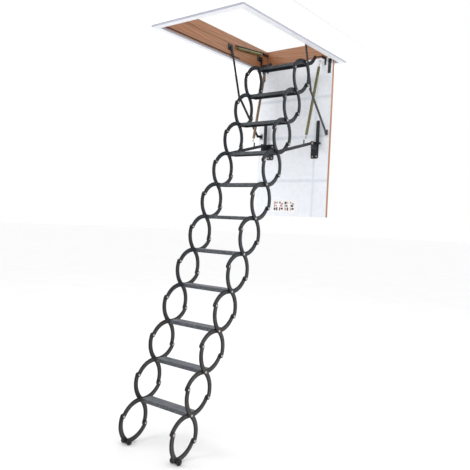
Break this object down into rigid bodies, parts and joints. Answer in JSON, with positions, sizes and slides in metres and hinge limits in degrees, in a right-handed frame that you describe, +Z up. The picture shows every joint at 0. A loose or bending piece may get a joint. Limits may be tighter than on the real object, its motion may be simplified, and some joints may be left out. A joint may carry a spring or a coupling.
{
  "type": "attic ladder",
  "caption": "Ceiling hatch in a wooden frame with a white lid that swings open and carries a folding steel scissor ladder with flat treads.",
  "frame": {"origin": "centre of the hatch opening in the ceiling plane", "axes": "+Z up into the attic, +Y towards the lid's hinges, +X across the ladder; the ladder hangs down to the floor towards -Y"},
  "size_m": [0.802, 1.7382, 3.01],
  "materials": {
    "pine": "oiled",
    "white_board": "satin",
    "white_casing": "satin",
    "foam": "rough",
    "seal_rubber": "matte",
    "dark_steel": "powder coat",
    "tread_steel": "powder coat",
    "zinc_yellow": "yellow zinc",
    "foot_rubber": "matte",
    "zinc": "zinc"
  },
  "bodies": {
    "hatch_frame": {"frame_side_left": "pine", "frame_side_right": "pine", "frame_end_front": "pine", "frame_end_hinge": "pine", "casing_strips": "white_casing", "frame_seal": "seal_rubber", "hinge_wall_plates": "dark_steel", "stay_wall_brackets": "dark_steel", "hatch_springs": "zinc_yellow", "hatch_spring_rods": "dark_steel"},
    "hinge_link_pair": {"hinge_links": "dark_steel"},
    "lid": {"lid_core": "foam", "lid_edge_lipping": "pine", "lid_skin_attic": "white_board", "lid_skin_room": "white_board", "hinge_lid_plates": "dark_steel", "anchor_brackets": "dark_steel", "strut_brackets": "dark_steel", "stay_lid_brackets": "dark_steel", "ladder_springs": "zinc_yellow"},
    "struts": {"support_struts": "dark_steel"},
    "upper_arms": {"stay_upper_arms": "dark_steel"},
    "lower_arms": {"stay_lower_arms": "dark_steel"},
    "inner_01": {"inner_links_01": "dark_steel", "tread_01": "tread_steel"},
    "outer_01": {"outer_links_01": "dark_steel"},
    "inner_02": {"inner_links_02": "dark_steel", "tread_02": "tread_steel"},
    "outer_02": {"outer_links_02": "dark_steel"},
    "inner_03": {"inner_links_03": "dark_steel", "tread_03": "tread_steel"},
    "outer_03": {"outer_links_03": "dark_steel"},
    "inner_04": {"inner_links_04": "dark_steel", "tread_04": "tread_steel"},
    "outer_04": {"outer_links_04": "dark_steel"},
    "inner_05": {"inner_links_05": "dark_steel", "tread_05": "tread_steel"},
    "outer_05": {"outer_links_05": "dark_steel"},
    "inner_06": {"inner_links_06": "dark_steel", "tread_06": "tread_steel"},
    "outer_06": {"outer_links_06": "dark_steel"},
    "inner_07": {"inner_links_07": "dark_steel", "tread_07": "tread_steel"},
    "outer_07": {"outer_links_07": "dark_steel"},
    "inner_08": {"inner_links_08": "dark_steel", "tread_08": "tread_steel"},
    "outer_08": {"outer_links_08": "dark_steel"},
    "inner_09": {"inner_links_09": "dark_steel", "tread_09": "tread_steel"},
    "outer_09": {"outer_links_09": "dark_steel"},
    "inner_10": {"inner_links_10": "dark_steel", "tread_10": "tread_steel"},
    "outer_10": {"outer_links_10": "dark_steel"},
    "inner_11": {"inner_links_11": "dark_steel", "tread_11": "tread_steel"},
    "outer_11": {"outer_links_11": "dark_steel"},
    "inner_12": {"inner_links_12": "dark_steel"},
    "outer_12": {"outer_links_12": "dark_steel", "foot_axles": "zinc", "rubber_feet": "foot_rubber"}
  },
  "joints": [
    {"name": "hatch_stow", "type": "hinge", "parent": "hatch_frame", "child": "hinge_link_pair", "pos_m": [0, 0.55, 0.08], "axis": [1, 0, 0], "range_deg": [0, 53.93]},
    {"name": "lid_pivot", "type": "hinge", "parent": "hinge_link_pair", "child": "lid", "pos_m": [0, 0.57, -0.005], "axis": [1, 0, 0], "range_deg": [-143.95, 0]},
    {"name": "anchor_pivot", "type": "hinge", "parent": "lid", "child": "inner_01", "pos_m": [0, 0.51827, 0.00883], "axis": [1, 0, 0], "range_deg": [-13.7, 0]},
    {"name": "crossing_pivot_01", "type": "hinge", "parent": "inner_01", "child": "outer_01", "pos_m": [0, 0.36, -0.069], "axis": [1, 0, 0], "range_deg": [0, 90.65]},
    {"name": "joint_pivot_01", "type": "hinge", "parent": "outer_01", "child": "inner_02", "pos_m": [0, 0.39827, -0.24117], "axis": [1, 0, 0], "range_deg": [-90.65, 0]},
    {"name": "crossing_pivot_02", "type": "hinge", "parent": "inner_02", "child": "outer_02", "pos_m": [0, 0.24, -0.319], "axis": [1, 0, 0], "range_deg": [0, 90.65]},
    {"name": "joint_pivot_02", "type": "hinge", "parent": "outer_02", "child": "inner_03", "pos_m": [0, 0.27827, -0.49117], "axis": [1, 0, 0], "range_deg": [-90.65, 0]},
    {"name": "crossing_pivot_03", "type": "hinge", "parent": "inner_03", "child": "outer_03", "pos_m": [0, 0.12, -0.569], "axis": [1, 0, 0], "range_deg": [0, 90.65]},
    {"name": "joint_pivot_03", "type": "hinge", "parent": "outer_03", "child": "inner_04", "pos_m": [0, 0.15827, -0.74117], "axis": [1, 0, 0], "range_deg": [-90.65, 0]},
    {"name": "crossing_pivot_04", "type": "hinge", "parent": "inner_04", "child": "outer_04", "pos_m": [0, 0, -0.819], "axis": [1, 0, 0], "range_deg": [0, 90.65]},
    {"name": "joint_pivot_04", "type": "hinge", "parent": "outer_04", "child": "inner_05", "pos_m": [0, 0.03827, -0.99117], "axis": [1, 0, 0], "range_deg": [-90.65, 0]},
    {"name": "crossing_pivot_05", "type": "hinge", "parent": "inner_05", "child": "outer_05", "pos_m": [0, -0.12, -1.069], "axis": [1, 0, 0], "range_deg": [0, 90.65]},
    {"name": "joint_pivot_05", "type": "hinge", "parent": "outer_05", "child": "inner_06", "pos_m": [0, -0.08173, -1.24117], "axis": [1, 0, 0], "range_deg": [-90.65, 0]},
    {"name": "crossing_pivot_06", "type": "hinge", "parent": "inner_06", "child": "outer_06", "pos_m": [0, -0.24, -1.319], "axis": [1, 0, 0], "range_deg": [0, 90.65]},
    {"name": "joint_pivot_06", "type": "hinge", "parent": "outer_06", "child": "inner_07", "pos_m": [0, -0.20173, -1.49117], "axis": [1, 0, 0], "range_deg": [-90.65, 0]},
    {"name": "crossing_pivot_07", "type": "hinge", "parent": "inner_07", "child": "outer_07", "pos_m": [0, -0.36, -1.569], "axis": [1, 0, 0], "range_deg": [0, 90.65]},
    {"name": "joint_pivot_07", "type": "hinge", "parent": "outer_07", "child": "inner_08", "pos_m": [0, -0.32173, -1.74117], "axis": [1, 0, 0], "range_deg": [-90.65, 0]},
    {"name": "crossing_pivot_08", "type": "hinge", "parent": "inner_08", "child": "outer_08", "pos_m": [0, -0.48, -1.819], "axis": [1, 0, 0], "range_deg": [0, 90.65]},
    {"name": "joint_pivot_08", "type": "hinge", "parent": "outer_08", "child": "inner_09", "pos_m": [0, -0.44173, -1.99117], "axis": [1, 0, 0], "range_deg": [-90.65, 0]},
    {"name": "crossing_pivot_09", "type": "hinge", "parent": "inner_09", "child": "outer_09", "pos_m": [0, -0.6, -2.069], "axis": [1, 0, 0], "range_deg": [0, 90.65]},
    {"name": "joint_pivot_09", "type": "hinge", "parent": "outer_09", "child": "inner_10", "pos_m": [0, -0.56173, -2.24117], "axis": [1, 0, 0], "range_deg": [-90.65, 0]},
    {"name": "crossing_pivot_10", "type": "hinge", "parent": "inner_10", "child": "outer_10", "pos_m": [0, -0.72, -2.319], "axis": [1, 0, 0], "range_deg": [0, 90.65]},
    {"name": "joint_pivot_10", "type": "hinge", "parent": "outer_10", "child": "inner_11", "pos_m": [0, -0.68173, -2.49117], "axis": [1, 0, 0], "range_deg": [-90.65, 0]},
    {"name": "crossing_pivot_11", "type": "hinge", "parent": "inner_11", "child": "outer_11", "pos_m": [0, -0.84, -2.569], "axis": [1, 0, 0], "range_deg": [0, 90.65]},
    {"name": "joint_pivot_11", "type": "hinge", "parent": "outer_11", "child": "inner_12", "pos_m": [0, -0.80173, -2.74117], "axis": [1, 0, 0], "range_deg": [-90.65, 0]},
    {"name": "crossing_pivot_12", "type": "hinge", "parent": "inner_12", "child": "outer_12", "pos_m": [0, -0.96, -2.819], "axis": [1, 0, 0], "range_deg": [0, 90.65]},
    {"name": "strut_pivot", "type": "hinge", "parent": "lid", "child": "struts", "pos_m": [0, 0.485, -0.692], "axis": [1, 0, 0], "range_deg": [-91.6, 0], "deforming": ["ladder_springs"]},
    {"name": "stay_wall_pivot", "type": "hinge", "parent": "hatch_frame", "child": "upper_arms", "pos_m": [0, 0.13, 0.07], "axis": [1, 0, 0], "range_deg": [-190.56, 0]},
    {"name": "stay_lid_pivot", "type": "hinge", "parent": "lid", "child": "lower_arms", "pos_m": [0, 0.54, -0.595], "axis": [1, 0, 0], "range_deg": [0, 39.71]}
  ],
  "couplings": [
    {"joint": "lid_pivot", "follows": "hatch_stow", "ratio": -2.669},
    {"joint": "anchor_pivot", "follows": "hatch_stow", "ratio": -0.2536},
    {"joint": "crossing_pivot_01", "follows": "hatch_stow", "ratio": 1.6807},
    {"joint": "joint_pivot_01", "follows": "hatch_stow", "ratio": -1.6807},
    {"joint": "crossing_pivot_02", "follows": "hatch_stow", "ratio": 1.6807},
    {"joint": "joint_pivot_02", "follows": "hatch_stow", "ratio": -1.6807},
    {"joint": "crossing_pivot_03", "follows": "hatch_stow", "ratio": 1.6807},
    {"joint": "joint_pivot_03", "follows": "hatch_stow", "ratio": -1.6807},
    {"joint": "crossing_pivot_04", "follows": "hatch_stow", "ratio": 1.6807},
    {"joint": "joint_pivot_04", "follows": "hatch_stow", "ratio": -1.6807},
    {"joint": "crossing_pivot_05", "follows": "hatch_stow", "ratio": 1.6807},
    {"joint": "joint_pivot_05", "follows": "hatch_stow", "ratio": -1.6807},
    {"joint": "crossing_pivot_06", "follows": "hatch_stow", "ratio": 1.6807},
    {"joint": "joint_pivot_06", "follows": "hatch_stow", "ratio": -1.6807},
    {"joint": "crossing_pivot_07", "follows": "hatch_stow", "ratio": 1.6807},
    {"joint": "joint_pivot_07", "follows": "hatch_stow", "ratio": -1.6807},
    {"joint": "crossing_pivot_08", "follows": "hatch_stow", "ratio": 1.6807},
    {"joint": "joint_pivot_08", "follows": "hatch_stow", "ratio": -1.6807},
    {"joint": "crossing_pivot_09", "follows": "hatch_stow", "ratio": 1.6807},
    {"joint": "joint_pivot_09", "follows": "hatch_stow", "ratio": -1.6807},
    {"joint": "crossing_pivot_10", "follows": "hatch_stow", "ratio": 1.6807},
    {"joint": "joint_pivot_10", "follows": "hatch_stow", "ratio": -1.6807},
    {"joint": "crossing_pivot_11", "follows": "hatch_stow", "ratio": 1.6807},
    {"joint": "joint_pivot_11", "follows": "hatch_stow", "ratio": -1.6807},
    {"joint": "crossing_pivot_12", "follows": "hatch_stow", "ratio": 1.6807},
    {"joint": "strut_pivot", "follows": "hatch_stow", "ratio": -1.6982},
    {"joint": "stay_wall_pivot", "follows": "hatch_stow", "ratio": -3.5333},
    {"joint": "stay_lid_pivot", "follows": "hatch_stow", "ratio": 0.73609}
  ]
}
